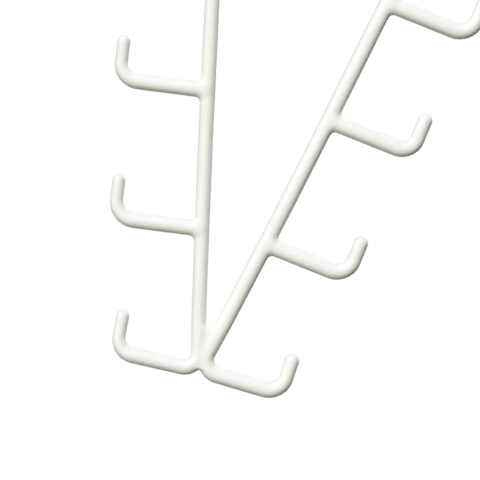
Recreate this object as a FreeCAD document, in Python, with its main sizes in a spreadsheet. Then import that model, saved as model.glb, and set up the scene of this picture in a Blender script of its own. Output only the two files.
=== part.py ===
import FreeCAD, Part
import math
import os
import Sketcher

# A wire tie hanger: two bent leg wires meet in a V at the foot and close in a kite at the neck.
# Upturned arms stand out from both legs in the plane of the frame, and white vinyl coats the wire.
# A hook turns in the collar at the neck.
# The frame lies in the XZ plane with +Z up, and the origin is where the hook sits on its rod.

# Driving sizes, in millimetres and degrees
SIZES = (
    ("wire_dia", 3.6, "steel wire of the frame and of the arms"),
    ("coat_wall", 0.75, "vinyl on the frame wires and on the collar"),
    ("arm_coat_wall", 0.72, "vinyl on the welded arms"),
    ("tip_dia", 4.4, "across the coated tip of an arm"),
    ("tip_straight", 0.5, "end of an arm's bend to the start of its taper"),
    ("leg_slant", 12.3, "each leg from the upright"),
    ("weld_sink", 0.05, "each leg wire past the middle plane, in the foot weld"),
    ("foot_bend", 4.3, "middle radius of the bend from leg to foot arm"),
    ("foot_reach", 28.0, "foot corner to the middle of the foot arm's tip"),
    ("foot_droop", 1.5, "foot arm below the level"),
    ("foot_tip_rise", 11.5, "foot arm's middle to the middle of its round end"),
    ("arm_bend", 6.1, "middle radius of an arm's upturn"),
    ("arm_reach", 29.9, "leg's middle to the middle of an arm's tip"),
    ("arm_droop", 6.4, "arm below the level"),
    ("arm_tip_rise", 12.0, "arm's middle to the middle of its round end"),
    ("foot_pitch", 47.1, "foot corner to the lowest welded arm, along the leg"),
    ("second_pitch", 46.1, "lowest welded arm to the next one"),
    ("upper_pitch", 44.0, "from arm to arm above that"),
    ("root_bend", 1.6, "hollow radius of the vinyl gathered at an arm's root"),
    ("web_bend", 1.7, "round top of the vinyl web between the legs"),
    ("web_thick", 3.0, "that web through the frame"),
    ("shoulder_clear", 25.0, "top arm to the shoulder corner, along the leg"),
    ("shoulder_slope", 28.0, "shoulder above the level"),
    ("shoulder_bend", 12.0, "middle radius of the shoulder's bend"),
    ("collar_dia", 9.0, "steel collar at the neck"),
    ("collar_height", 14.0, "length of the collar"),
    ("shank_dia", 4.0, "steel wire of the hook"),
    ("swivel_gap", 0.08, "running clearance around the shank"),
    ("hook_coat_wall", 0.5, "vinyl on the hook"),
    ("bow_radius", 25.0, "middle radius of the hook's bow"),
    ("bow_tip_lift", 5.0, "bow's end above the level of its centre"),
    ("hook_bend", 8.0, "middle radius of the bend from shank to bow"),
    ("shank_rise", 12.0, "top of the collar to that bend"),
    ("bare_shank", 3.0, "top of the collar to the hook's vinyl"),
    ("washer_dia", 8.4, "washer under the collar"),
    ("washer_thick", 0.8, "thickness of the washer"),
    ("washer_play", 0.1, "end play of the swivel"),
    ("head_dia", 7.4, "upset head of the shank"),
    ("head_height", 2.4, "height of that head"),
)

# Welded arms are counted upwards on each leg; row 1 is the leg wire's own bent end
WELDED_ROWS = range(2, 7)
SIDES = (("right", 1), ("left", -1))

doc = FreeCAD.newDocument("TieHanger")
sheet = doc.addObject("Spreadsheet::Sheet", "Sizes")
for line, (alias, number, meaning) in enumerate(SIZES, start=1):
    sheet.set(f"A{line}", alias)
    sheet.set(f"B{line}", str(number))
    sheet.set(f"C{line}", meaning)
    sheet.setAlias(f"B{line}", alias)
doc.recompute()

# Places and sizes that follow from the driving ones.
# The frame's own places are measured from the foot corners' level, up the middle plane.
upper_rows = len(WELDED_ROWS) - 2
PLACES = (
    ("wire_radius", "Sizes.wire_dia / 2"),
    ("coat_radius", "Sizes.wire_dia / 2 + Sizes.coat_wall"),
    ("arm_radius", "Sizes.wire_dia / 2 + Sizes.arm_coat_wall"),
    ("arm_lean", "Sizes.leg_slant - Sizes.arm_droop"),
    ("post_length", "12 * Places.coat_radius"),
    ("tip_radius", "Sizes.tip_dia / 2"),
    ("foot_angle", "90 - Sizes.leg_slant + Sizes.foot_droop"),
    ("foot_x", "Places.wire_radius - Sizes.weld_sink + Sizes.foot_bend * (1 - cos(Sizes.leg_slant * 1 deg)"
               " - sin(Sizes.leg_slant * 1 deg) / tan(Places.foot_angle * 0.5 deg))"),
    ("elbow_x", "Places.foot_x + Sizes.foot_reach * cos(Sizes.foot_droop * 1 deg)"),
    ("elbow_z", "-Sizes.foot_reach * sin(Sizes.foot_droop * 1 deg)"),
    ("foot_tip_x", "Places.elbow_x + Sizes.foot_tip_rise * sin(Sizes.foot_droop * 1 deg)"),
    ("foot_tip_z", "Places.elbow_z + Sizes.foot_tip_rise * cos(Sizes.foot_droop * 1 deg)"),
    ("taper_start", "Sizes.arm_bend + Sizes.tip_straight"),
    ("foot_taper_x", "Places.elbow_x + Places.taper_start * sin(Sizes.foot_droop * 1 deg)"),
    ("foot_taper_z", "Places.elbow_z + Places.taper_start * cos(Sizes.foot_droop * 1 deg)"),
    ("web_z", "(Sizes.web_bend + Places.coat_radius - Places.foot_x * cos(Sizes.leg_slant * 1 deg))"
              " / sin(Sizes.leg_slant * 1 deg)"),
    ("web_x", "Places.foot_x + Places.web_z * tan(Sizes.leg_slant * 1 deg)"),
    ("leg_length", "Sizes.foot_pitch + Sizes.second_pitch"
                   f" + {upper_rows} * Sizes.upper_pitch + Sizes.shoulder_clear"),
    ("shoulder_x", "Places.foot_x + Places.leg_length * sin(Sizes.leg_slant * 1 deg)"),
    ("shoulder_z", "Places.leg_length * cos(Sizes.leg_slant * 1 deg)"),
    ("neck_z", "Places.shoulder_z + Places.shoulder_x * tan(Sizes.shoulder_slope * 1 deg)"),
    ("collar_radius", "Sizes.collar_dia / 2"),
    ("neck_coat_radius", "Places.collar_radius + Sizes.coat_wall"),
    ("shank_radius", "Sizes.shank_dia / 2"),
    ("bore_radius", "Places.shank_radius + Sizes.swivel_gap"),
    ("hook_coat_radius", "Places.shank_radius + Sizes.hook_coat_wall"),
    ("bow_z", "Places.hook_coat_radius - Sizes.bow_radius"),
    ("bow_tip_x", "-Sizes.bow_radius * cos(Sizes.bow_tip_lift * 1 deg)"),
    ("bow_tip_z", "Places.bow_z + Sizes.bow_radius * sin(Sizes.bow_tip_lift * 1 deg)"),
    ("bend_z", "Places.bow_z - sqrt(Sizes.bow_radius ^ 2 + 2 * Sizes.bow_radius * Sizes.hook_bend)"),
    ("collar_top", "Places.bend_z - Sizes.shank_rise"),
    ("collar_foot", "Places.collar_top - Sizes.collar_height"),
    ("hook_coat_foot", "Places.collar_top + Sizes.bare_shank"),
    ("washer_foot", "Places.collar_foot - Sizes.washer_play - Sizes.washer_thick"),
    ("washer_radius", "Sizes.washer_dia / 2"),
    ("head_radius", "Sizes.head_dia / 2"),
    ("foot_level", "Places.collar_top - Sizes.collar_height / 2 - Places.neck_z"),
)
places = doc.addObject("App::VarSet", "Places")
for name, formula in PLACES:
    places.addProperty("App::PropertyFloat", name, "Places")
    places.setExpression(name, formula)
    doc.recompute()


# A size or place by its name, as a number; None stands for zero
def value(reference):
    if reference is None:
        return 0.0
    holder, name = reference.split(".")
    return float(getattr(doc.getObject(holder), name))


# Sketches
def new_sketch(body, name, plane):
    sketch = body.newObject("Sketcher::SketchObject", f"{body.Name}_{name}")
    origin_plane = next(part for part in body.Origin.OriginFeatures if part.Role == plane)
    sketch.AttachmentSupport = [(origin_plane, "")]
    sketch.MapMode = "FlatFace"
    return sketch


def bind(sketch, constraint, reference):
    index = sketch.addConstraint(constraint)
    if reference is not None:
        sketch.setExpression(f"Constraints[{index}]", reference)


def hold_point(sketch, geometry, end, x, z):
    bind(sketch, Sketcher.Constraint("DistanceX", -1, 1, geometry, end, value(x)), x)
    bind(sketch, Sketcher.Constraint("DistanceY", -1, 1, geometry, end, value(z)), z)


# Straight runs from corner to corner, with a tangent arc of the given radius in each corner between
def bent_path(body, corners, bends):
    sketch = new_sketch(body, "path", "XZ_Plane")
    points = [FreeCAD.Vector(value(x), value(z), 0) for x, z in corners]
    runs = [(after - before).normalize() for before, after in zip(points, points[1:])]
    turns = [math.copysign(first.getAngle(second), first.cross(second).z)
             for first, second in zip(runs, runs[1:])]
    radii = [value(bend) for bend in bends]
    setbacks = [0.0] + [radius * math.tan(abs(turn) / 2) for radius, turn in zip(radii, turns)] + [0.0]

    lines = []
    for index, run in enumerate(runs):
        start = points[index] + run * setbacks[index]
        end = points[index + 1] - run * setbacks[index + 1]
        lines.append(sketch.addGeometry(Part.LineSegment(start, end)))
    hold_point(sketch, lines[0], 1, *corners[0])
    hold_point(sketch, lines[-1], 2, *corners[-1])

    for index, turn in enumerate(turns):
        left_turn = math.copysign(1, turn)
        inward = FreeCAD.Vector(-runs[index].y, runs[index].x, 0) * left_turn
        arc_start = points[index + 1] - runs[index] * setbacks[index + 1]
        centre = arc_start + inward * radii[index]
        start_angle = math.atan2(-inward.y, -inward.x)
        angles = sorted((start_angle, start_angle + turn))
        circle = Part.Circle(centre, FreeCAD.Vector(0, 0, 1), radii[index])
        arc = sketch.addGeometry(Part.ArcOfCircle(circle, *angles))
        corner = sketch.addGeometry(Part.Point(points[index + 1]), True)
        first_end, last_end = (1, 2) if turn > 0 else (2, 1)
        sketch.addConstraint(Sketcher.Constraint("Tangent", lines[index], 2, arc, first_end))
        sketch.addConstraint(Sketcher.Constraint("Tangent", arc, last_end, lines[index + 1], 1))
        bind(sketch, Sketcher.Constraint("Radius", arc, radii[index]), bends[index])
        sketch.addConstraint(Sketcher.Constraint("PointOnObject", corner, 1, lines[index]))
        sketch.addConstraint(Sketcher.Constraint("PointOnObject", corner, 1, lines[index + 1]))
        hold_point(sketch, corner, 1, *corners[index + 1])
    doc.recompute()
    return sketch


# A shank up the middle, a bend to the right and a bow over to the left, all tangent
def hook_path(body, start):
    sketch = new_sketch(body, "path", "XZ_Plane")
    bow_centre = FreeCAD.Vector(0, value("Places.bow_z"), 0)
    bend_centre = FreeCAD.Vector(value("Sizes.hook_bend"), value("Places.bend_z"), 0)
    join = bow_centre - bend_centre
    join_angle = math.atan2(join.y, join.x)
    tip_angle = math.pi - math.radians(value("Sizes.bow_tip_lift"))
    upward = FreeCAD.Vector(0, 0, 1)
    bend_circle = Part.Circle(bend_centre, upward, value("Sizes.hook_bend"))
    bow_circle = Part.Circle(bow_centre, upward, value("Sizes.bow_radius"))
    shank_start = FreeCAD.Vector(0, value(start), 0)
    shank_end = FreeCAD.Vector(0, value("Places.bend_z"), 0)
    shank = sketch.addGeometry(Part.LineSegment(shank_start, shank_end))
    bend = sketch.addGeometry(Part.ArcOfCircle(bend_circle, join_angle, math.pi))
    bow = sketch.addGeometry(Part.ArcOfCircle(bow_circle, join_angle - math.pi, tip_angle))
    hold_point(sketch, shank, 1, None, start)
    sketch.addConstraint(Sketcher.Constraint("Vertical", shank))
    sketch.addConstraint(Sketcher.Constraint("Tangent", shank, 2, bend, 2))
    sketch.addConstraint(Sketcher.Constraint("Tangent", bend, 1, bow, 1))
    hold_point(sketch, bow, 3, None, "Places.bow_z")
    bind(sketch, Sketcher.Constraint("Radius", bend, value("Sizes.hook_bend")), "Sizes.hook_bend")
    bind(sketch, Sketcher.Constraint("Radius", bow, value("Sizes.bow_radius")), "Sizes.bow_radius")
    tip_rise = Sketcher.Constraint("DistanceY", -1, 1, bow, 2, value("Places.bow_tip_z"))
    bind(sketch, tip_rise, "Places.bow_tip_z")
    doc.recompute()
    return sketch


# Bodies
def new_body(label):
    body = doc.addObject("PartDesign::Body", label)
    body.Label = label
    return body


def circle_sketch(sketch, radius):
    centre = FreeCAD.Vector(0, 0, 0)
    circle = sketch.addGeometry(Part.Circle(centre, FreeCAD.Vector(0, 0, 1), value(radius)))
    sketch.addConstraint(Sketcher.Constraint("Coincident", circle, 3, -1, 1))
    bind(sketch, Sketcher.Constraint("Radius", circle, value(radius)), radius)


# Round bar of one radius along a body's path
def sweep(body, path, radius):
    section = body.newObject("Sketcher::SketchObject", f"{body.Name}_section")
    section.AttachmentSupport = [(path, "Edge1")]
    section.MapMode = "NormalToEdge"
    circle_sketch(section, radius)
    bar = body.newObject("PartDesign::AdditivePipe", f"{body.Name}_bar")
    bar.Profile = section
    bar.Spine = path
    doc.recompute()


# A ready-made solid added to a body or cut from it, at a point and tipped about Y
def add_solid(body, kind, name, sizes, x="0", z="0", tip="0", slide="0"):
    solid = body.newObject(f"PartDesign::{kind}", f"{body.Name}_{name}")
    for size, formula in sizes.items():
        solid.setExpression(size, formula)
    solid.setExpression("Placement", f"placement(vector({x}; 0; {z}); rotation(0; {tip}; 0))"
                                     f" * placement(vector(0; 0; {slide}); rotation(0; 0; 0))")
    doc.recompute()
    return solid


# Coated tip of an arm: a slight taper and a round end
def round_tip(body, radius, rise, taper_x, taper_z, tip_x, tip_z, lean):
    taper = {"Radius1": radius, "Radius2": "Places.tip_radius", "Height": f"{rise} - Places.taper_start"}
    add_solid(body, "AdditiveCone", "taper", taper, taper_x, taper_z, lean)
    add_solid(body, "AdditiveSphere", "end", {"Radius": "Places.tip_radius"}, tip_x, tip_z)


# A cylinder about an upright or tipped axis, long enough to pass a wire on both sides
def post(body, kind, name, radius, z="0", tip="0"):
    sizes = {"Radius": radius, "Height": "Places.post_length"}
    return add_solid(body, f"{kind}Cylinder", name, sizes, "0", z, tip, "-Places.post_length / 2")


def cut(label, base, tool):
    result = doc.addObject("Part::Cut", label)
    result.Label = label
    result.Base = base
    result.Tool = tool
    doc.recompute()
    return result


def fuse(label, solids):
    result = doc.addObject("Part::MultiFuse", label)
    result.Label = label
    result.Shapes = solids
    doc.recompute()
    return result


# Frame wires: neck, shoulder, foot, elbow and tip, in the order in which each one is bent
def frame_bar(label, last_corner, radius, neck_radius, turn):
    body = new_body(label)
    corners = ((None, "Places.neck_z"), ("Places.shoulder_x", "Places.shoulder_z"),
               ("Places.foot_x", None), ("Places.elbow_x", "Places.elbow_z"), last_corner)
    path = bent_path(body, corners, ("Sizes.shoulder_bend", "Sizes.foot_bend", "Sizes.arm_bend"))
    sweep(body, path, radius)
    post(body, "Subtractive", "neck_seat", neck_radius, "Places.neck_z")
    body.setExpression("Placement", f"placement(vector(0; 0; Places.foot_level); rotation({turn}; 0; 0))")
    return body


# Both wires meet on the middle plane, so each one ends there
def trim_at_middle(body):
    sizes = {"Length": "Places.coat_radius", "Width": "2 * Places.coat_radius",
             "Height": "Places.web_z + 2 * Places.coat_radius"}
    box = add_solid(body, "SubtractiveBox", "middle", sizes)
    box.setExpression("Placement", "placement(vector(-Places.coat_radius; -Places.coat_radius;"
                                   " -2 * Places.coat_radius); rotation(0; 0; 0))")
    doc.recompute()


# Vinyl that bridges the narrow V above the foot, with a round top
def crotch_web(body):
    sketch = new_sketch(body, "web", "XZ_Plane")
    corners = ((None, None), ("Places.foot_x", None),
               ("Places.web_x", "Places.web_z"), (None, "Places.web_z"))
    points = [FreeCAD.Vector(value(x), value(z), 0) for x, z in corners]
    for index, point in enumerate(points):
        following = (index + 1) % len(points)
        sketch.addGeometry(Part.LineSegment(point, points[following]))
    for index, corner in enumerate(corners):
        following = (index + 1) % len(points)
        sketch.addConstraint(Sketcher.Constraint("Coincident", index, 2, following, 1))
        hold_point(sketch, index, 1, *corner)
    web = body.newObject("PartDesign::Pad", f"{body.Name}_web_pad")
    web.Profile = sketch
    web.setExpression("Length", "Sizes.web_thick")
    web.SideType = "Symmetric"
    doc.recompute()
    top = add_solid(body, "SubtractiveCylinder", "web_top",
                    {"Radius": "Sizes.web_bend", "Height": "2 * Sizes.web_thick"})
    top.setExpression("Placement", "placement(vector(0; Sizes.web_thick; Places.web_z); rotation(0; 0; 90))")
    doc.recompute()


# Welded arms: out from the leg, bent up, coped to the leg's round
def arm_path(body, last_rise):
    corners = ((None, None), ("Sizes.arm_reach", None), ("Sizes.arm_reach", last_rise))
    return bent_path(body, corners, ("Sizes.arm_bend",))


def seat_on_leg(body, radius):
    post(body, "Subtractive", "leg_seat", radius, tip="Places.arm_lean")


# Vinyl gathers in the corner between arm and leg: a fillet against a stub of the leg, cut away later
def gather_at_root(body):
    stub = post(body, "Additive", "leg_stub", "Places.coat_radius", tip="Places.arm_lean")
    lean = math.radians(value("Places.arm_lean"))
    leg_axis = FreeCAD.Vector(math.sin(lean), 0, math.cos(lean))

    def on_root(edge):
        middle = edge.valueAt((edge.FirstParameter + edge.LastParameter) / 2)
        from_leg = middle.cross(leg_axis).Length - value("Places.coat_radius")
        from_arm = math.hypot(middle.y, middle.z) - value("Places.arm_radius")
        return max(abs(from_leg), abs(from_arm)) < stub.Shape.getTolerance(1)

    names = [f"Edge{index}" for index, edge in enumerate(stub.Shape.Edges, start=1) if on_root(edge)]
    gathered = body.newObject("PartDesign::Fillet", f"{body.Name}_root")
    gathered.Base = (stub, names)
    gathered.setExpression("Radius", "Sizes.root_bend")
    doc.recompute()


def hang_on_leg(body, along, side, turn):
    x = f"{side} * (Places.foot_x + ({along}) * sin(Sizes.leg_slant * 1 deg))"
    z = f"Places.foot_level + ({along}) * cos(Sizes.leg_slant * 1 deg)"
    body.setExpression("Placement", f"placement(vector({x}; 0; {z}); rotation({turn}; Sizes.arm_droop; 0))")
    doc.recompute()


def row_place(row):
    if row == WELDED_ROWS[0]:
        return "Sizes.foot_pitch"
    return f"Sizes.foot_pitch + Sizes.second_pitch + {row - WELDED_ROWS[1]} * Sizes.upper_pitch"


# A plain ring about the neck's axis
def ring(label, inner, outer, height, foot):
    body = new_body(label)
    sketch = new_sketch(body, "round", "XY_Plane")
    circle_sketch(sketch, inner)
    circle_sketch(sketch, outer)
    pad = body.newObject("PartDesign::Pad", f"{label}_pad")
    pad.Profile = sketch
    pad.setExpression("Length", height)
    body.setExpression("Placement", f"placement(vector(0; 0; {foot}); rotation(0; 0; 0))")
    doc.recompute()
    return body


subparts = []
frame_wires = []
for side_name, side in SIDES:
    half_turn = "0" if side > 0 else "180"

    wire = frame_bar(f"{side_name}_frame_wire", ("Places.foot_tip_x", "Places.foot_tip_z"),
                     "Places.wire_radius", "Places.collar_radius", half_turn)
    trim_at_middle(wire)
    frame_wires.append(wire)
    subparts.append(wire)

    arm_wires = []
    for row in WELDED_ROWS:
        arm_wire = new_body(f"{side_name}_arm_{row}_wire")
        sweep(arm_wire, arm_path(arm_wire, "Sizes.arm_tip_rise"), "Places.wire_radius")
        seat_on_leg(arm_wire, "Places.wire_radius")
        hang_on_leg(arm_wire, row_place(row), side, half_turn)
        arm_wires.append(arm_wire)

        outside = new_body(f"{side_name}_arm_{row}_outside")
        sweep(outside, arm_path(outside, "Places.taper_start"), "Places.arm_radius")
        gather_at_root(outside)
        round_tip(outside, "Places.arm_radius", "Sizes.arm_tip_rise", "Sizes.arm_reach",
                  "Places.taper_start", "Sizes.arm_reach", "Sizes.arm_tip_rise", "0")
        seat_on_leg(outside, "Places.coat_radius")
        hang_on_leg(outside, row_place(row), side, half_turn)
        subparts.append(arm_wire)
        subparts.append(cut(f"{side_name}_arm_{row}_coat", outside, arm_wire))

    outside = frame_bar(f"{side_name}_frame_outside", ("Places.foot_taper_x", "Places.foot_taper_z"),
                        "Places.coat_radius", "Places.neck_coat_radius", half_turn)
    round_tip(outside, "Places.coat_radius", "Sizes.foot_tip_rise", "Places.foot_taper_x",
              "Places.foot_taper_z", "Places.foot_tip_x", "Places.foot_tip_z", "Sizes.foot_droop")
    crotch_web(outside)
    trim_at_middle(outside)
    side_wires = fuse(f"{side_name}_wires", [wire] + arm_wires)
    subparts.append(cut(f"{side_name}_frame_coat", outside, side_wires))

# Neck: the collar joins both shoulders, and its vinyl lets their wires through
subparts.append(ring("neck_collar", "Places.bore_radius", "Places.collar_radius",
                     "Sizes.collar_height", "Places.collar_foot"))
sleeve = ring("neck_sleeve", "Places.collar_radius", "Places.neck_coat_radius",
              "Sizes.collar_height", "Places.collar_foot")
subparts.append(cut("neck_coat", sleeve, fuse("shoulder_wires", frame_wires)))

# Hook: the shank runs down through the collar to an upset head, and a washer lies between
hook_wire = new_body("hook_wire")
sweep(hook_wire, hook_path(hook_wire, "Places.washer_foot"), "Places.shank_radius")
dome = add_solid(hook_wire, "AdditiveEllipsoid", "head",
                 {"Radius1": "Sizes.head_height", "Radius2": "Places.head_radius",
                  "Radius3": "Places.head_radius"}, z="Places.washer_foot")
dome.Angle1 = -90
dome.Angle2 = 0
doc.recompute()
subparts.append(hook_wire)

hook_outside = new_body("hook_outside")
sweep(hook_outside, hook_path(hook_outside, "Places.hook_coat_foot"), "Places.hook_coat_radius")
add_solid(hook_outside, "AdditiveSphere", "end", {"Radius": "Places.hook_coat_radius"},
          "Places.bow_tip_x", "Places.bow_tip_z")
subparts.append(cut("hook_coat", hook_outside, hook_wire))

subparts.append(ring("swivel_washer", "Places.bore_radius", "Places.washer_radius",
                     "Sizes.washer_thick", "Places.washer_foot"))

# Every object has to be sound before anything is written
doc.recompute()
for item in doc.Objects:
    if "Invalid" in item.State or "Error" in item.State:
        raise RuntimeError(f"{item.Label} failed: {item.State}")
for part in subparts:
    if part.Shape.isNull() or not part.Shape.isValid() or len(part.Shape.Solids) != 1:
        raise RuntimeError(f"{part.Label} is not one sound solid")

os.makedirs("parts", exist_ok=True)
for part in subparts:
    part.Shape.exportStep(os.path.join("parts", f"{part.Label}.step"))
    print(f"{part.Label}: {part.Shape.Volume:.1f} mm3")
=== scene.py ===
import bpy
import math
import numpy as np
from mathutils import Matrix, Vector


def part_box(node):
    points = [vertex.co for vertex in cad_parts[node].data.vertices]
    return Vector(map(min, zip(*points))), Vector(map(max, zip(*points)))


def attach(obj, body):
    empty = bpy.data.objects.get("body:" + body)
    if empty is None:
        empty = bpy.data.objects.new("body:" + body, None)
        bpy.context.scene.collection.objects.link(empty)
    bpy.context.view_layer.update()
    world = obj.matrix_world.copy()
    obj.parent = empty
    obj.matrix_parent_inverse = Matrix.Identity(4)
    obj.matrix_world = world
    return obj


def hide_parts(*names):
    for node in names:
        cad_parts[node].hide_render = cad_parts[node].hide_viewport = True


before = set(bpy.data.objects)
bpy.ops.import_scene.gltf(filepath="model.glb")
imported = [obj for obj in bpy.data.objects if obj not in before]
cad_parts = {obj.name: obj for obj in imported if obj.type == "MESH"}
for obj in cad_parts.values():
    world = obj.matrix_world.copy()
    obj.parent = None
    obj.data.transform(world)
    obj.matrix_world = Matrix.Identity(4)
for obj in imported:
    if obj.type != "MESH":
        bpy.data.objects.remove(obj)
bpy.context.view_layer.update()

# Frame wires
# Two lengths of drawn steel wire in one plane. Each is bent over at the shoulder, comes down as a leg, and
# turns out and up at the foot as the lowest arm. They are welded side by side where the legs meet.
# Sizes are in millimetres, and points are (x, z) in the plane of the frame.
mm = 0.001
wire_radius = 1.8
weld_sink = 0.05
leg_slant = math.radians(12.3)
foot_bend = 4.3
foot_reach = 27.6
foot_droop = math.radians(1.5)
foot_splay = math.radians(2.5)
foot_tip_rise = 11.5
elbow_bend = 6.1
row_pitches = (47.1, 46.1, 44.0, 44.0, 44.0)
shoulder_clear = 25.0
shoulder_slope = math.radians(28.0)
shoulder_bend = 12.0
collar_low, collar_high = (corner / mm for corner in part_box("neck_collar"))
neck_z = (collar_low.z + collar_high.z) / 2
sides = {"right": 1, "left": -1}

# Bent by hand, each leg strays outwards from its straight line, here at some distances above its foot
leg_stations = (0, 20, 45, 80, 130)
leg_strays = {"right": (-0.95, -0.35, -0.05, 0.07, -0.35), "left": (-0.45, 0.03, 0.17, 0.16, -0.2)}
stray_bend = 300.0

# The feet are bent by hand too, a little above their mark, with wider foot bends and tighter elbows
foot_lifts = {"right": 0.35, "left": 0.15}
foot_eases = {"right": 0.8, "left": 0.25}
foot_elbow_eases = {"right": -0.25, "left": -0.45}

# On the left the vinyl has run further past the upturned ends
tip_runs = {"right": 0.0, "left": 0.55}


def heading(angle):
    return np.array((math.cos(angle), math.sin(angle)))


def bend_wire(corners, bends):
    """A wire from corner to corner, as ("straight", start, end) and ("bend", centre, spoke, turn)."""
    spans = [after - before for before, after in zip(corners, corners[1:])]
    runs = [span / np.linalg.norm(span) for span in spans]
    stretches = []
    start = corners[0]
    for corner, before, after, bend in zip(corners[1:], runs, runs[1:], bends):
        turn = math.atan2(before[0] * after[1] - before[1] * after[0], before @ after)
        setback = bend * math.tan(abs(turn) / 2)
        inward = np.array((-before[1], before[0])) * math.copysign(bend, turn)
        bend_start = corner - before * setback
        stretches.append(("straight", start, bend_start))
        stretches.append(("bend", bend_start + inward, -inward, turn))
        start = corner + after * setback
    stretches.append(("straight", start, corners[-1]))
    return stretches


def on_side(side, corners):
    """Corners of a wire as on the right, mirrored for the left."""
    return [np.array((sides[side] * x, z)) for x, z in corners]


leg_length = sum(row_pitches) + shoulder_clear
leg_way = heading(math.pi / 2 - leg_slant)
leg_outwards = heading(-leg_slant)
foot_turn = math.pi / 2 - leg_slant + foot_droop
foot_x = wire_radius - weld_sink + foot_bend * (
    1 - math.cos(leg_slant) - math.sin(leg_slant) / math.tan(foot_turn / 2))
shoulder_x = foot_x + leg_length * leg_way[0]
foot_z = neck_z - leg_length * leg_way[1] - shoulder_x * math.tan(shoulder_slope)
foot = np.array((foot_x, foot_z))
frame_lines = {}
for side in sides:
    foot_lift = np.array((0, foot_lifts[side]))
    elbow = foot + foot_lift + heading(-foot_droop) * foot_reach
    tip_rise = foot_tip_rise + tip_runs[side]
    frame_corners = [elbow + heading(math.pi / 2 - foot_droop - foot_splay) * tip_rise, elbow]
    foot_place = len(frame_corners)
    for station, stray in zip(leg_stations, leg_strays[side]):
        frame_corners.append(foot + leg_way * station + leg_outwards * stray)
    frame_corners[foot_place] += foot_lift
    frame_corners += [foot + leg_way * leg_length, np.array((0, neck_z))]
    frame_bends = [elbow_bend + foot_elbow_eases[side], foot_bend + foot_eases[side]]
    frame_bends += [stray_bend] * (len(leg_stations) - 1) + [shoulder_bend]
    frame_lines[side] = bend_wire(on_side(side, reversed(frame_corners)), list(reversed(frame_bends)))


def link(finish, source, socket):
    finish.node_tree.links.new(source, socket)


def grain(finish, size, detail, stretch=(1, 1, 1)):
    """Noise whose grains are about that many metres across, drawn out along an axis by a small stretch."""
    nodes = finish.node_tree.nodes
    place = nodes.new("ShaderNodeTexCoord")
    scaled = nodes.new("ShaderNodeMapping")
    scaled.inputs["Scale"].default_value = stretch
    link(finish, place.outputs["Object"], scaled.inputs["Vector"])
    clouds = nodes.new("ShaderNodeTexNoise")
    clouds.inputs["Scale"].default_value = 1 / size
    clouds.inputs["Detail"].default_value = detail
    link(finish, scaled.outputs["Vector"], clouds.inputs["Vector"])
    return clouds.outputs["Fac"]


# The noise keeps mostly between these values
grain_low = 0.3
grain_high = 0.7


def vary(finish, source, low, high, socket):
    """A socket's value goes from low to high with the grain."""
    spread = finish.node_tree.nodes.new("ShaderNodeMapRange")
    spread.inputs["From Min"].default_value = grain_low
    spread.inputs["From Max"].default_value = grain_high
    spread.inputs["To Min"].default_value = low
    spread.inputs["To Max"].default_value = high
    link(finish, source, spread.inputs["Value"])
    link(finish, spread.outputs["Result"], socket)


def tint(finish, source, one, other, socket):
    """A colour goes from one to the other with the grain."""
    ramp = finish.node_tree.nodes.new("ShaderNodeValToRGB")
    ramp.color_ramp.elements[0].position = grain_low
    ramp.color_ramp.elements[0].color = (*one, 1)
    ramp.color_ramp.elements[1].position = grain_high
    ramp.color_ramp.elements[1].color = (*other, 1)
    link(finish, source, ramp.inputs["Fac"])
    link(finish, ramp.outputs["Color"], socket)


def roughen(finish, source, depth, socket):
    """Bumps of about that depth in metres."""
    bumps = finish.node_tree.nodes.new("ShaderNodeBump")
    bumps.inputs["Distance"].default_value = depth
    link(finish, source, bumps.inputs["Height"])
    link(finish, bumps.outputs["Normal"], socket)


def steel(name, one, other, stretch):
    """Bare metal between two greys, with fine lines left by the die or the lathe."""
    cloud_size = 0.004
    line_size = 0.0003
    line_depth = 0.00002
    polished = 0.24
    dull = 0.42
    finish = bpy.data.materials.new(name)
    finish.use_nodes = True
    shader = finish.node_tree.nodes["Principled BSDF"]
    shader.inputs["Metallic"].default_value = 1.0
    tint(finish, grain(finish, cloud_size, 3), one, other, shader.inputs["Base Color"])
    lines = grain(finish, line_size, 2, stretch)
    vary(finish, lines, polished, dull, shader.inputs["Roughness"])
    roughen(finish, lines, line_depth, shader.inputs["Normal"])
    return finish


drawn_dark = (0.42, 0.42, 0.43)
drawn_light = (0.55, 0.55, 0.55)
die_lines = (1, 1, 0.06)
die_drawn_steel = steel("die_drawn_steel", drawn_dark, drawn_light, die_lines)


def finish_node(node, finish):
    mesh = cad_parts[node].data
    mesh.materials.clear()
    mesh.materials.append(finish)


for side in sides:
    finish_node(f"{side}_frame_wire", die_drawn_steel)

# Arm wires
# Five shorter lengths of the same steel wire on each leg, bent up at the end so that a tie can't slide off.
# Each root is coped to the leg's round and resistance-welded to its outer side, so that the arm slopes down.
arm_reach = 29.6
arm_droop = math.radians(7.2)
arm_splay = math.radians(0.7)
arm_tip_rise = 12.0
root_start = 2.2

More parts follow.
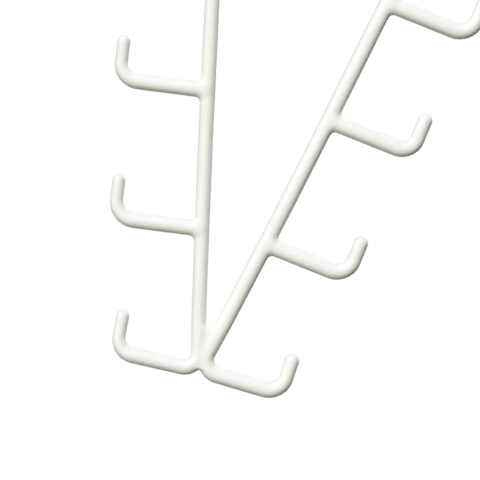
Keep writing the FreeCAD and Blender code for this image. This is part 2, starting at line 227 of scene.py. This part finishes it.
# Welding leaves each arm a little above its mark and a little short or long, and the elbows are bent by hand
weld_lifts = {"right": (0.6, 0.75, 0.45, 0.5, 0.4), "left": (0.15, 0.28, 0.3, 0.2, 0.4)}
weld_slips = {"right": (-0.27, 0.28, 0.1, -0.1, 0.0), "left": (0.0, 0.28, -0.1, 0.1, 0.0)}
elbow_eases = {"right": (-0.15, -0.75, 0.0, -0.2, 0.3), "left": (0.3, 0.0, -0.3, 0.2, 0.0)}
arm_way = heading(-arm_droop)
arm_lines = {side: [] for side in sides}
for side in sides:
    hand_work = zip(weld_lifts[side], weld_slips[side], elbow_eases[side])
    for row, (lift, slip, ease) in enumerate(hand_work):
        leg_middle = foot + leg_way * sum(row_pitches[:row + 1]) + (0, lift)
        elbow = leg_middle + arm_way * (arm_reach + slip)
        tip_rise = arm_tip_rise + tip_runs[side]
        arm_tip = elbow + heading(math.pi / 2 - arm_droop - arm_splay) * tip_rise
        arm_corners = on_side(side, [leg_middle + arm_way * root_start, elbow, arm_tip])
        arm_lines[side].append(bend_wire(arm_corners, [elbow_bend + ease]))
        finish_node(f"{side}_arm_{row + 2}_wire", die_drawn_steel)

# Neck collar
# A turned steel sleeve, zinc plated and chamfered at both ends. The two shoulders are welded to its sides,
# and the hook's shank turns in its bore.
round_sides = 96
bore_radius = 2.08
collar_radius = 4.5
bore_chamfer = 0.3
collar_chamfer = 0.4
upright = math.pi / 2


def ring_skin(rings, closed=False):
    """Points and faces of a skin round rings of (x, z, heading, radius), capped unless the rings close."""
    turns = np.linspace(0, 2 * math.pi, round_sides, endpoint=False)
    loops = []
    for x, z, way, radius in rings:
        across = radius * np.cos(turns)
        deep = radius * np.sin(turns)
        loops.append(np.stack([x - across * math.sin(way), deep, z + across * math.cos(way)], axis=1))
    count = len(loops)
    faces = []
    for ring in range(count if closed else count - 1):
        near = ring * round_sides
        far = (ring + 1) % count * round_sides
        for spoke in range(round_sides):
            after = (spoke + 1) % round_sides
            faces.append((near + spoke, far + spoke, far + after, near + after))
    if not closed:
        faces.append(tuple(range(round_sides)))
        faces.append(tuple(reversed(range((count - 1) * round_sides, count * round_sides))))
    return np.concatenate(loops), faces


def make_piece(name, points, faces, finish, body, slot, *nodes, crease=35):
    """A mesh from points in millimetres, smooth below the crease angle, that stands for nodes of a body."""
    mesh = bpy.data.meshes.new(name)
    mesh.from_pydata((points * mm).tolist(), [], faces)
    mesh.shade_smooth()
    mesh.set_sharp_from_angle(angle=math.radians(crease))
    mesh.materials.append(finish)
    piece = bpy.data.objects.new(name, mesh)
    bpy.context.scene.collection.objects.link(piece)
    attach(piece, body)
    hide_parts(*nodes)
    return piece


zinc_dark = (0.40, 0.41, 0.43)
zinc_light = (0.54, 0.55, 0.57)
plated_lines = (1, 1, 0.08)
zinc_plate = steel("zinc_plate", zinc_dark, zinc_light, plated_lines)
collar_profile = [
    (collar_low.z, collar_radius - collar_chamfer),
    (collar_low.z + collar_chamfer, collar_radius),
    (collar_high.z - collar_chamfer, collar_radius),
    (collar_high.z, collar_radius - collar_chamfer),
    (collar_high.z, bore_radius + bore_chamfer),
    (collar_high.z - bore_chamfer, bore_radius),
    (collar_low.z + bore_chamfer, bore_radius),
    (collar_low.z, bore_radius + bore_chamfer)]
collar_skin = ring_skin([(0, z, upright, radius) for z, radius in collar_profile], closed=True)
make_piece("collar", *collar_skin, zinc_plate, "frame", "plated_steel", "neck_collar")

# Vinyl coat of the frame
# The welded frame is heated and dipped in white vinyl, which fuses on it as one thick satin skin. It runs
# thinner on the left and at the arms' tips, and pools in the arms' root corners and as a web over the foot.
coat_radii = {
    "right": {"leg": 2.67, "arm": 2.78, "tip": 2.43},
    "left": {"leg": 2.46, "arm": 2.63, "tip": 2.14}}
neck_coat_radius = 5.25
neck_coat_inside = 3.2
neck_coat_inset = 0.15
neck_coat_half_height = (collar_high.z - collar_low.z) / 2 - neck_coat_inset
neck_coat_round = 0.6
root_pool = 1.9
crotch_pools = (0.4, 1.5)
crotch_span = (-0.5, 1.5)
neck_pool = 3.0
web_half_thick = 2.2
web_round = 1.5
web_pool = 1.0
web_start = 1.0
web_rise = 14.9
web_bottom = foot_z + web_start
web_top = foot_z + web_rise
coat_flat = 2.95
flat_pool = 0.4
wave_depth = 0.015
wave_length = 11.0
coat_crease = 75
far_away = 100.0

# A rough skin comes first, is gridded, and is then drawn onto the vinyl's surface
rough_radius = 2.6
rough_step = 0.8
rough_web_inset = 1.0
grid_size = 0.54


def walk_wire(stretches, step):
    """Points (x, z, heading) along a wire, about a step apart."""
    places = []
    for kind, first, second, *turn in stretches:
        if kind == "straight":
            run = second - first
            way = math.atan2(run[1], run[0])
            count = max(1, round(np.linalg.norm(run) / step))
            places += [(*(first + run * share), way) for share in np.arange(count + 1) / count]
        else:
            radius = np.linalg.norm(second)
            spoke = math.atan2(second[1], second[0])
            count = max(1, round(abs(turn[0]) * radius / step))
            quarter = math.copysign(math.pi / 2, turn[0])
            for angle in spoke + turn[0] * np.arange(count + 1) / count:
                places.append((*(first + heading(angle) * radius), angle + quarter))
    return places


def wire_length(stretches):
    total = 0.0
    for kind, first, second, *turn in stretches:
        if kind == "straight":
            total += np.linalg.norm(second - first)
        else:
            total += np.linalg.norm(second) * abs(turn[0])
    return total


def nearest_on_wire(stretches, points):
    """How far points are from a wire's middle line, and how far along the wire they are nearest."""
    flat = points[:, (0, 2)]
    best = np.full(len(points), far_away)
    best_along = np.zeros(len(points))
    passed = 0.0
    for kind, first, second, *turn in stretches:
        if kind == "straight":
            run = second - first
            length = np.linalg.norm(run)
            share = np.clip((flat - first) @ run / length ** 2, 0, 1)
            near = first + share[:, None] * run
        else:
            radius = np.linalg.norm(second)
            length = radius * abs(turn[0])
            reach = flat - first
            swing = np.arctan2(second[0] * reach[:, 1] - second[1] * reach[:, 0], reach @ second)
            share = np.clip(swing / turn[0], 0, 1)
            angle = math.atan2(second[1], second[0]) + turn[0] * share
            near = first + radius * np.stack([np.cos(angle), np.sin(angle)], axis=1)
        gap = np.sqrt(((flat - near) ** 2).sum(axis=1) + points[:, 1] ** 2)
        closer = gap < best
        best[closer] = gap[closer]
        best_along[closer] = passed + share[closer] * length
        passed += length
    return best, best_along


def dipped(line, *coat):
    """A coated wire: its line, its radius along the line and the box that its coat can reach."""
    spare = 1.0
    room = rough_radius + root_pool + spare
    places = np.array([place[:2] for place in walk_wire(line, rough_step)])
    low = places.min(axis=0) - room
    high = places.max(axis=0) + room
    return {"line": line, "coat": tuple(zip(*coat)), "low": low, "high": high}


coated = {}
for side, radii in coat_radii.items():
    line = frame_lines[side]
    foot_start = wire_length(line[:-4])
    foot_end = wire_length(line[:-3])
    elbow_start = wire_length(line[:-2])
    elbow_end = wire_length(line[:-1])
    coated[side] = [dipped(line, (foot_start, radii["leg"]), (foot_end, radii["arm"]),
                           (elbow_start, radii["arm"]), (elbow_end, radii["tip"]))]
    for line in arm_lines[side]:
        elbow_start = wire_length(line[:-2])
        elbow_end = wire_length(line[:-1])
        coated[side].append(dipped(line, (elbow_start, radii["arm"]), (elbow_end, radii["tip"])))


def pooled(one, other, pool):
    """The lower of two heights, with vinyl pooled in the corner between."""
    share = np.clip(0.5 + (other - one) / (2 * pool), 0, 1)
    return other + (one - other) * share - pool * share * (1 - share)


def web_height(x, y, z):
    """How far points stand above the web between the legs, which has a round upper edge."""
    beside = np.abs(x) - foot_x - (z - foot_z) * math.tan(leg_slant)
    edge = -pooled(web_half_thick - np.abs(y), web_top - z, web_round)
    return np.maximum.reduce([edge, beside, web_bottom - z])


def coat_height(points):
    """How far points stand above the vinyl's surface; below it the height is negative."""
    x, y, z = points.T
    halves = []
    for wires in coated.values():
        half = np.full(len(points), far_away)
        for wire in wires:
            flat = points[:, (0, 2)]
            inside = np.all((flat > wire["low"]) & (flat < wire["high"]), axis=1)
            gap, along = nearest_on_wire(wire["line"], points[inside])
            half[inside] = pooled(half[inside], gap - np.interp(along, *wire["coat"]), root_pool)
        halves.append(half)
    height = pooled(*halves, np.interp(z - foot_z, crotch_span, crotch_pools))
    height = pooled(height, web_height(x, y, z), web_pool)
    height = -pooled(-height, coat_flat - np.abs(y), flat_pool)
    from_axis = np.hypot(x, y)
    past_side = from_axis - neck_coat_radius + neck_coat_round
    past_end = np.abs(z - neck_z) - neck_coat_half_height + neck_coat_round
    outside = np.hypot(np.maximum(past_side, 0), np.maximum(past_end, 0))
    sleeve = outside + np.minimum(np.maximum(past_side, past_end), 0) - neck_coat_round
    height = pooled(height, sleeve, neck_pool)
    waves = np.sin((x + z) / wave_length * 2) + np.sin((3 * y - z) / wave_length * 3)
    height -= wave_depth * waves
    at_neck = np.abs(z - neck_z) < 2 * neck_coat_half_height
    bore = np.where(at_neck, neck_coat_inside - from_axis, -far_away)
    return np.maximum(height, bore)


def settle(points, rounds):
    """Points drawn along the slope onto the vinyl's surface."""
    step = 0.01
    least_steepness = 0.1
    longest_move = 0.6
    for _ in range(rounds):
        height = coat_height(points)
        rises = [coat_height(points + nudge) - height for nudge in np.eye(3) * step]
        slope = np.stack(rises, axis=1) / step
        steepness = np.maximum((slope ** 2).sum(axis=1), least_steepness)
        points = points - slope * (np.clip(height, -longest_move, longest_move) / steepness)[:, None]
    return points


def even_out(points, edges):
    """Each point moved half way to the middle of its neighbours."""
    total = np.zeros_like(points)
    count = np.zeros(len(points))
    for one, other in (edges.T, edges[:, ::-1].T):
        np.add.at(total, one, points[other])
        np.add.at(count, one, 1)
    return (points + total / count[:, None]) / 2


def round_end(ring):
    """Rings that close a round wire with a half ball past its last ring."""
    x, z, way, radius = ring
    step = 10
    rings = []
    for angle in np.radians(np.arange(step, 90, step)):
        end = np.array((x, z)) + heading(way) * radius * math.sin(angle)
        rings.append((*end, way, radius * math.cos(angle)))
    return rings


rough_points = []
rough_faces = []


def add_rough(rings, closed=False):
    points, faces = ring_skin(rings, closed)
    passed = sum(len(part) for part in rough_points)
    rough_points.append(points)
    rough_faces.extend(tuple(corner + passed for corner in face) for face in faces)


for wires in coated.values():
    for wire in wires:
        wire_rings = [(*place, rough_radius) for place in walk_wire(wire["line"], rough_step)]
        add_rough(wire_rings + round_end(wire_rings[-1]))
web_line = [("straight", np.array((0.0, web_bottom)), np.array((0.0, web_top - rough_web_inset)))]
add_rough([(*place, web_half_thick) for place in walk_wire(web_line, rough_step)])
sleeve_profile = [
    (-neck_coat_half_height, neck_coat_radius), (neck_coat_half_height, neck_coat_radius),
    (neck_coat_half_height, neck_coat_inside), (-neck_coat_half_height, neck_coat_inside)]
add_rough([(0, neck_z + z, upright, radius) for z, radius in sleeve_profile], closed=True)

rough = bpy.data.meshes.new("rough_coat")
rough.from_pydata(np.concatenate(rough_points).tolist(), [], rough_faces)
rough_piece = bpy.data.objects.new("rough_coat", rough)
bpy.context.scene.collection.objects.link(rough_piece)
regrid = rough_piece.modifiers.new("regrid", "REMESH")
regrid.mode = "VOXEL"
regrid.voxel_size = grid_size
regridded = rough_piece.evaluated_get(bpy.context.evaluated_depsgraph_get())
fused = bpy.data.meshes.new_from_object(regridded)
bpy.data.objects.remove(rough_piece)
coat_points = np.array([corner.co for corner in fused.vertices], float)
coat_edges = np.array([edge.vertices for edge in fused.edges])
coat_faces = [tuple(face.vertices) for face in fused.polygons]

# The gridded skin is drawn onto the vinyl's surface, evened out and drawn on again
coat_points = settle(coat_points, 3)
for _ in range(3):
    coat_points = even_out(coat_points, coat_edges)
    coat_points = settle(coat_points, 1)
coat_points = settle(coat_points, 2)


def vinyl(name):
    """Satin off-white vinyl, a little cloudy, with a slight orange peel."""
    cream = (0.832, 0.836, 0.800)
    pale_cream = (0.862, 0.866, 0.830)
    cloud_size = 0.012
    patch_size = 0.003
    satin = 0.42
    dull = 0.54
    peel_size = 0.0014
    peel_depth = 0.000012
    vinyl_ior = 1.35
    finish = bpy.data.materials.new(name)
    finish.use_nodes = True
    shader = finish.node_tree.nodes["Principled BSDF"]
    shader.inputs["IOR"].default_value = vinyl_ior
    tint(finish, grain(finish, cloud_size, 2), cream, pale_cream, shader.inputs["Base Color"])
    vary(finish, grain(finish, patch_size, 3), satin, dull, shader.inputs["Roughness"])
    roughen(finish, grain(finish, peel_size, 2), peel_depth, shader.inputs["Normal"])
    return finish


white_vinyl = vinyl("white_vinyl")
coat_nodes = [f"{side}_frame_coat" for side in sides]
coat_nodes += [f"{side}_arm_{row + 2}_coat" for side in sides for row in range(len(row_pitches))]
coat_nodes.append("neck_coat")
make_piece("frame_coat", coat_points, coat_faces, white_vinyl, "frame", "white_vinyl", *coat_nodes,
           crease=coat_crease)

# Hook wire
# A thicker zinc-plated steel wire: a bow over the rod, a bend, and a straight shank down through the collar.
# Its lower end is upset into a round head, which carries the frame.
shank_radius = 2.0
bow_radius = 25.0
bow_tip_lift = math.radians(5.0)
hook_bend = 8.0
head_radius = 3.7
head_height = 2.4
head_land = 0.05
shank_step = 1.0
hook_coat_radius = 2.5
washer_low, washer_high = (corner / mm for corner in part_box("swivel_washer"))
bow = np.array((0.0, hook_coat_radius - bow_radius))
bend_drop = math.sqrt((bow_radius + hook_bend) ** 2 - hook_bend ** 2)
bend = np.array((hook_bend, bow[1] - bend_drop))
join = math.atan2(bow[1] - bend[1], bow[0] - bend[0])
join_spoke = heading(join - math.pi) * bow_radius
bow_turn = math.pi - bow_tip_lift - (join - math.pi)


def hook_line(low_end):
    return [("straight", np.array((0.0, low_end)), np.array((0.0, bend[1]))),
            ("bend", bend, np.array((-hook_bend, 0.0)), join - math.pi),
            ("bend", bow, join_spoke, bow_turn)]


head_angles = np.radians(np.arange(15, 91, 7.5))
head_rings = []
for angle in head_angles:
    ring_z = washer_low.z - head_height * math.cos(angle)
    head_rings.append((0, ring_z, upright, head_radius * math.sin(angle)))
head_rings.append((0, washer_low.z, upright, shank_radius))
shank_line = hook_line(washer_low.z + head_land)
shank_rings = [(*place, shank_radius) for place in walk_wire(shank_line, shank_step)]
hook_skin = ring_skin(head_rings + shank_rings)
make_piece("hook_steel", *hook_skin, zinc_plate, "hook", "plated_steel", "hook_wire")

# Vinyl coat of the hook
# The same white vinyl, dipped from the bow's tip down to just above the collar, so that the shank below
# stays bare to turn. It ends there in a soft lip, and at the bow's tip in a round end.
lip_length = 0.9
lip_bead = 0.1
lip_steps = 8
lip_gap = 0.3
bead_length = 3.0
coat_step = 0.7
hook_coat_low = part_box("hook_coat")[0].z / mm
coat_rings = []
lip_wall = hook_coat_radius + lip_bead - shank_radius
for share in np.linspace(0, 1, lip_steps + 1):
    lip_radius = shank_radius + lip_wall * math.sqrt(1 - (1 - share) ** 2)
    coat_rings.append((0, hook_coat_low + lip_length * share, upright, lip_radius))
for x, z, way in walk_wire(hook_line(hook_coat_low + lip_length + lip_gap), coat_step):
    bead = lip_bead * max(0.0, 1 - (z - hook_coat_low - lip_length) / bead_length)
    coat_rings.append((x, z, way, hook_coat_radius + bead))
coat_rings += round_end(coat_rings[-1])
make_piece("hook_vinyl", *ring_skin(coat_rings), white_vinyl, "hook", "white_vinyl", "hook_coat")

# Swivel washer
# A stamped, zinc-plated steel washer on the shank, between the collar and the head. It turns with the hook,
# and its upper edge is rolled by the die.
washer_radius = 4.2
washer_roll = 0.25
washer_edge = 0.08
washer_profile = [
    (washer_low.z, washer_radius - washer_edge),
    (washer_low.z + washer_edge, washer_radius)]
roll_angles = np.radians(np.arange(0, 91, 15))
for angle in roll_angles:
    edge_z = washer_high.z - washer_roll + washer_roll * math.sin(angle)
    edge_radius = washer_radius - washer_roll + washer_roll * math.cos(angle)
    washer_profile.append((edge_z, edge_radius))
washer_profile += [
    (washer_high.z, bore_radius + washer_edge),
    (washer_high.z - washer_edge, bore_radius),
    (washer_low.z + washer_edge, bore_radius),
    (washer_low.z, bore_radius + washer_edge)]
washer_skin = ring_skin([(0, z, upright, radius) for z, radius in washer_profile], closed=True)
make_piece("washer", *washer_skin, zinc_plate, "hook", "plated_steel", "swivel_washer")

# Floor
# A plain pale floor below the hanging hanger, out of the main view. It is a smooth painted board, which
# catches the shadow, glows a little so as to look pale, and throws no light back on the hanger.
floor_drop = 0.5
floor_half = 3.5
floor_white = (0.9, 0.9, 0.9, 1)
floor_glow = 0.45
black = (0, 0, 0, 1)
floor_z = foot_z * mm - floor_drop
floor_mesh = bpy.data.meshes.new("floor")
floor_corners = [(-1, -1), (1, -1), (1, 1), (-1, 1)]
floor_points = [(x * floor_half, y * floor_half, floor_z) for x, y in floor_corners]
floor_mesh.from_pydata(floor_points, [], [(0, 1, 2, 3)])
floor = bpy.data.objects.new("floor", floor_mesh)
bpy.context.scene.collection.objects.link(floor)
floor_paint = bpy.data.materials.new("floor_paint")
floor_paint.use_nodes = True
floor_nodes = floor_paint.node_tree.nodes
floor_nodes.remove(floor_nodes["Principled BSDF"])
pale = floor_nodes.new("ShaderNodeBsdfDiffuse")
pale.inputs["Color"].default_value = floor_white
glow = floor_nodes.new("ShaderNodeEmission")
glow.inputs["Strength"].default_value = floor_glow
both = floor_nodes.new("ShaderNodeAddShader")
link(floor_paint, pale.outputs["BSDF"], both.inputs[0])
link(floor_paint, glow.outputs["Emission"], both.inputs[1])
dark = floor_nodes.new("ShaderNodeBsdfDiffuse")
dark.inputs["Color"].default_value = black
floor_path = floor_nodes.new("ShaderNodeLightPath")
floor_mix = floor_nodes.new("ShaderNodeMixShader")
link(floor_paint, floor_path.outputs["Is Diffuse Ray"], floor_mix.inputs["Fac"])
link(floor_paint, both.outputs["Shader"], floor_mix.inputs[1])
link(floor_paint, dark.outputs["BSDF"], floor_mix.inputs[2])
link(floor_paint, floor_mix.outputs["Shader"], floor_nodes["Material Output"].inputs["Surface"])
floor_mesh.materials.append(floor_paint)

# Camera
# A long lens square to the frame, which looks at the lower arms, as far off as its view of 160 mm needs.
# It is turned about its own axis, so that the hanger leans to the right in the picture.
lean = math.radians(14.63)
view_width = 0.16
view_aside = 2.21
view_rise = 45.83
view_middle = Vector((view_aside, 0, foot_z + view_rise)) * mm
lens = 200.0
sensor = 36.0
camera_data = bpy.data.cameras.new("camera")
camera_data.lens = lens
camera_data.sensor_width = sensor
camera = bpy.data.objects.new("camera", camera_data)
bpy.context.scene.collection.objects.link(camera)
picture_right = Vector((math.cos(lean), 0, math.sin(lean)))
picture_up = Vector((-math.sin(lean), 0, math.cos(lean)))
towards_viewer = Vector((0, -1, 0))
turned = Matrix((picture_right, picture_up, towards_viewer)).transposed()
stand = view_middle + towards_viewer * view_width * lens / sensor
camera.matrix_world = Matrix.LocRotScale(stand, turned, None)
bpy.context.scene.camera = camera

# Studio light
# Two key lamps from above in front, one warm and one cool, a lamp behind on the right for the edges, a weak
# warm fill from the lower left and two lamps behind for the back. The white surround alone gives the gloss.
softness = math.radians(20)
white_light = (1, 1, 1)


def lamp(name, picture_angle, forward, level, colour, shadow=True):
    """A far lamp: its angle in the picture, its angle towards the viewer, and the white that it gives."""
    data = bpy.data.lights.new(name, "SUN")
    data.energy = level * math.pi
    data.angle = softness
    data.color = colour
    data.use_shadow = shadow
    around = math.radians(picture_angle)
    rise = math.radians(forward)
    in_picture = picture_right * math.cos(around) + picture_up * math.sin(around)
    source = in_picture * math.cos(rise) + towards_viewer * math.sin(rise)
    piece = bpy.data.objects.new(name, data)
    bpy.context.scene.collection.objects.link(piece)
    piece.rotation_mode = "QUATERNION"
    piece.rotation_quaternion = source.to_track_quat("Z", "Y")
    piece.visible_glossy = False


lamp("warm_key", 103, 66, 0.40, (1, 0.80, 0.42))
lamp("cool_key", 103, 50, 0.98, (0.72, 0.815, 1))
lamp("back_right", 30, -30, 0.46, (1, 0.96, 0.80))
lamp("fill", 215, 30, 0.25, (1, 0.97, 0.86), shadow=False)
lamp("behind_left", 160, -70, 0.36, white_light)
lamp("behind_right", 20, -70, 0.36, white_light)
world = bpy.data.worlds.new("surround")
bpy.context.scene.world = world
world.use_nodes = True
world_nodes = world.node_tree.nodes
unlit = world_nodes["Background"]
unlit.inputs["Color"].default_value = black
unlit.inputs["Strength"].default_value = 0.0
white = world_nodes.new("ShaderNodeBackground")
white.inputs["Color"].default_value = (*white_light, 1)
path = world_nodes.new("ShaderNodeLightPath")
seen = path.outputs["Is Camera Ray"]
for ray in ("Is Glossy Ray", "Is Transmission Ray"):
    either = world_nodes.new("ShaderNodeMath")
    either.operation = "MAXIMUM"
    link(world, seen, either.inputs[0])
    link(world, path.outputs[ray], either.inputs[1])
    seen = either.outputs["Value"]
world_mix = world_nodes.new("ShaderNodeMixShader")
link(world, seen, world_mix.inputs["Fac"])
link(world, unlit.outputs["Background"], world_mix.inputs[1])
link(world, white.outputs["Background"], world_mix.inputs[2])
link(world, world_mix.outputs["Shader"], world_nodes["World Output"].inputs["Surface"])
bpy.context.scene.view_settings.view_transform = "Standard"
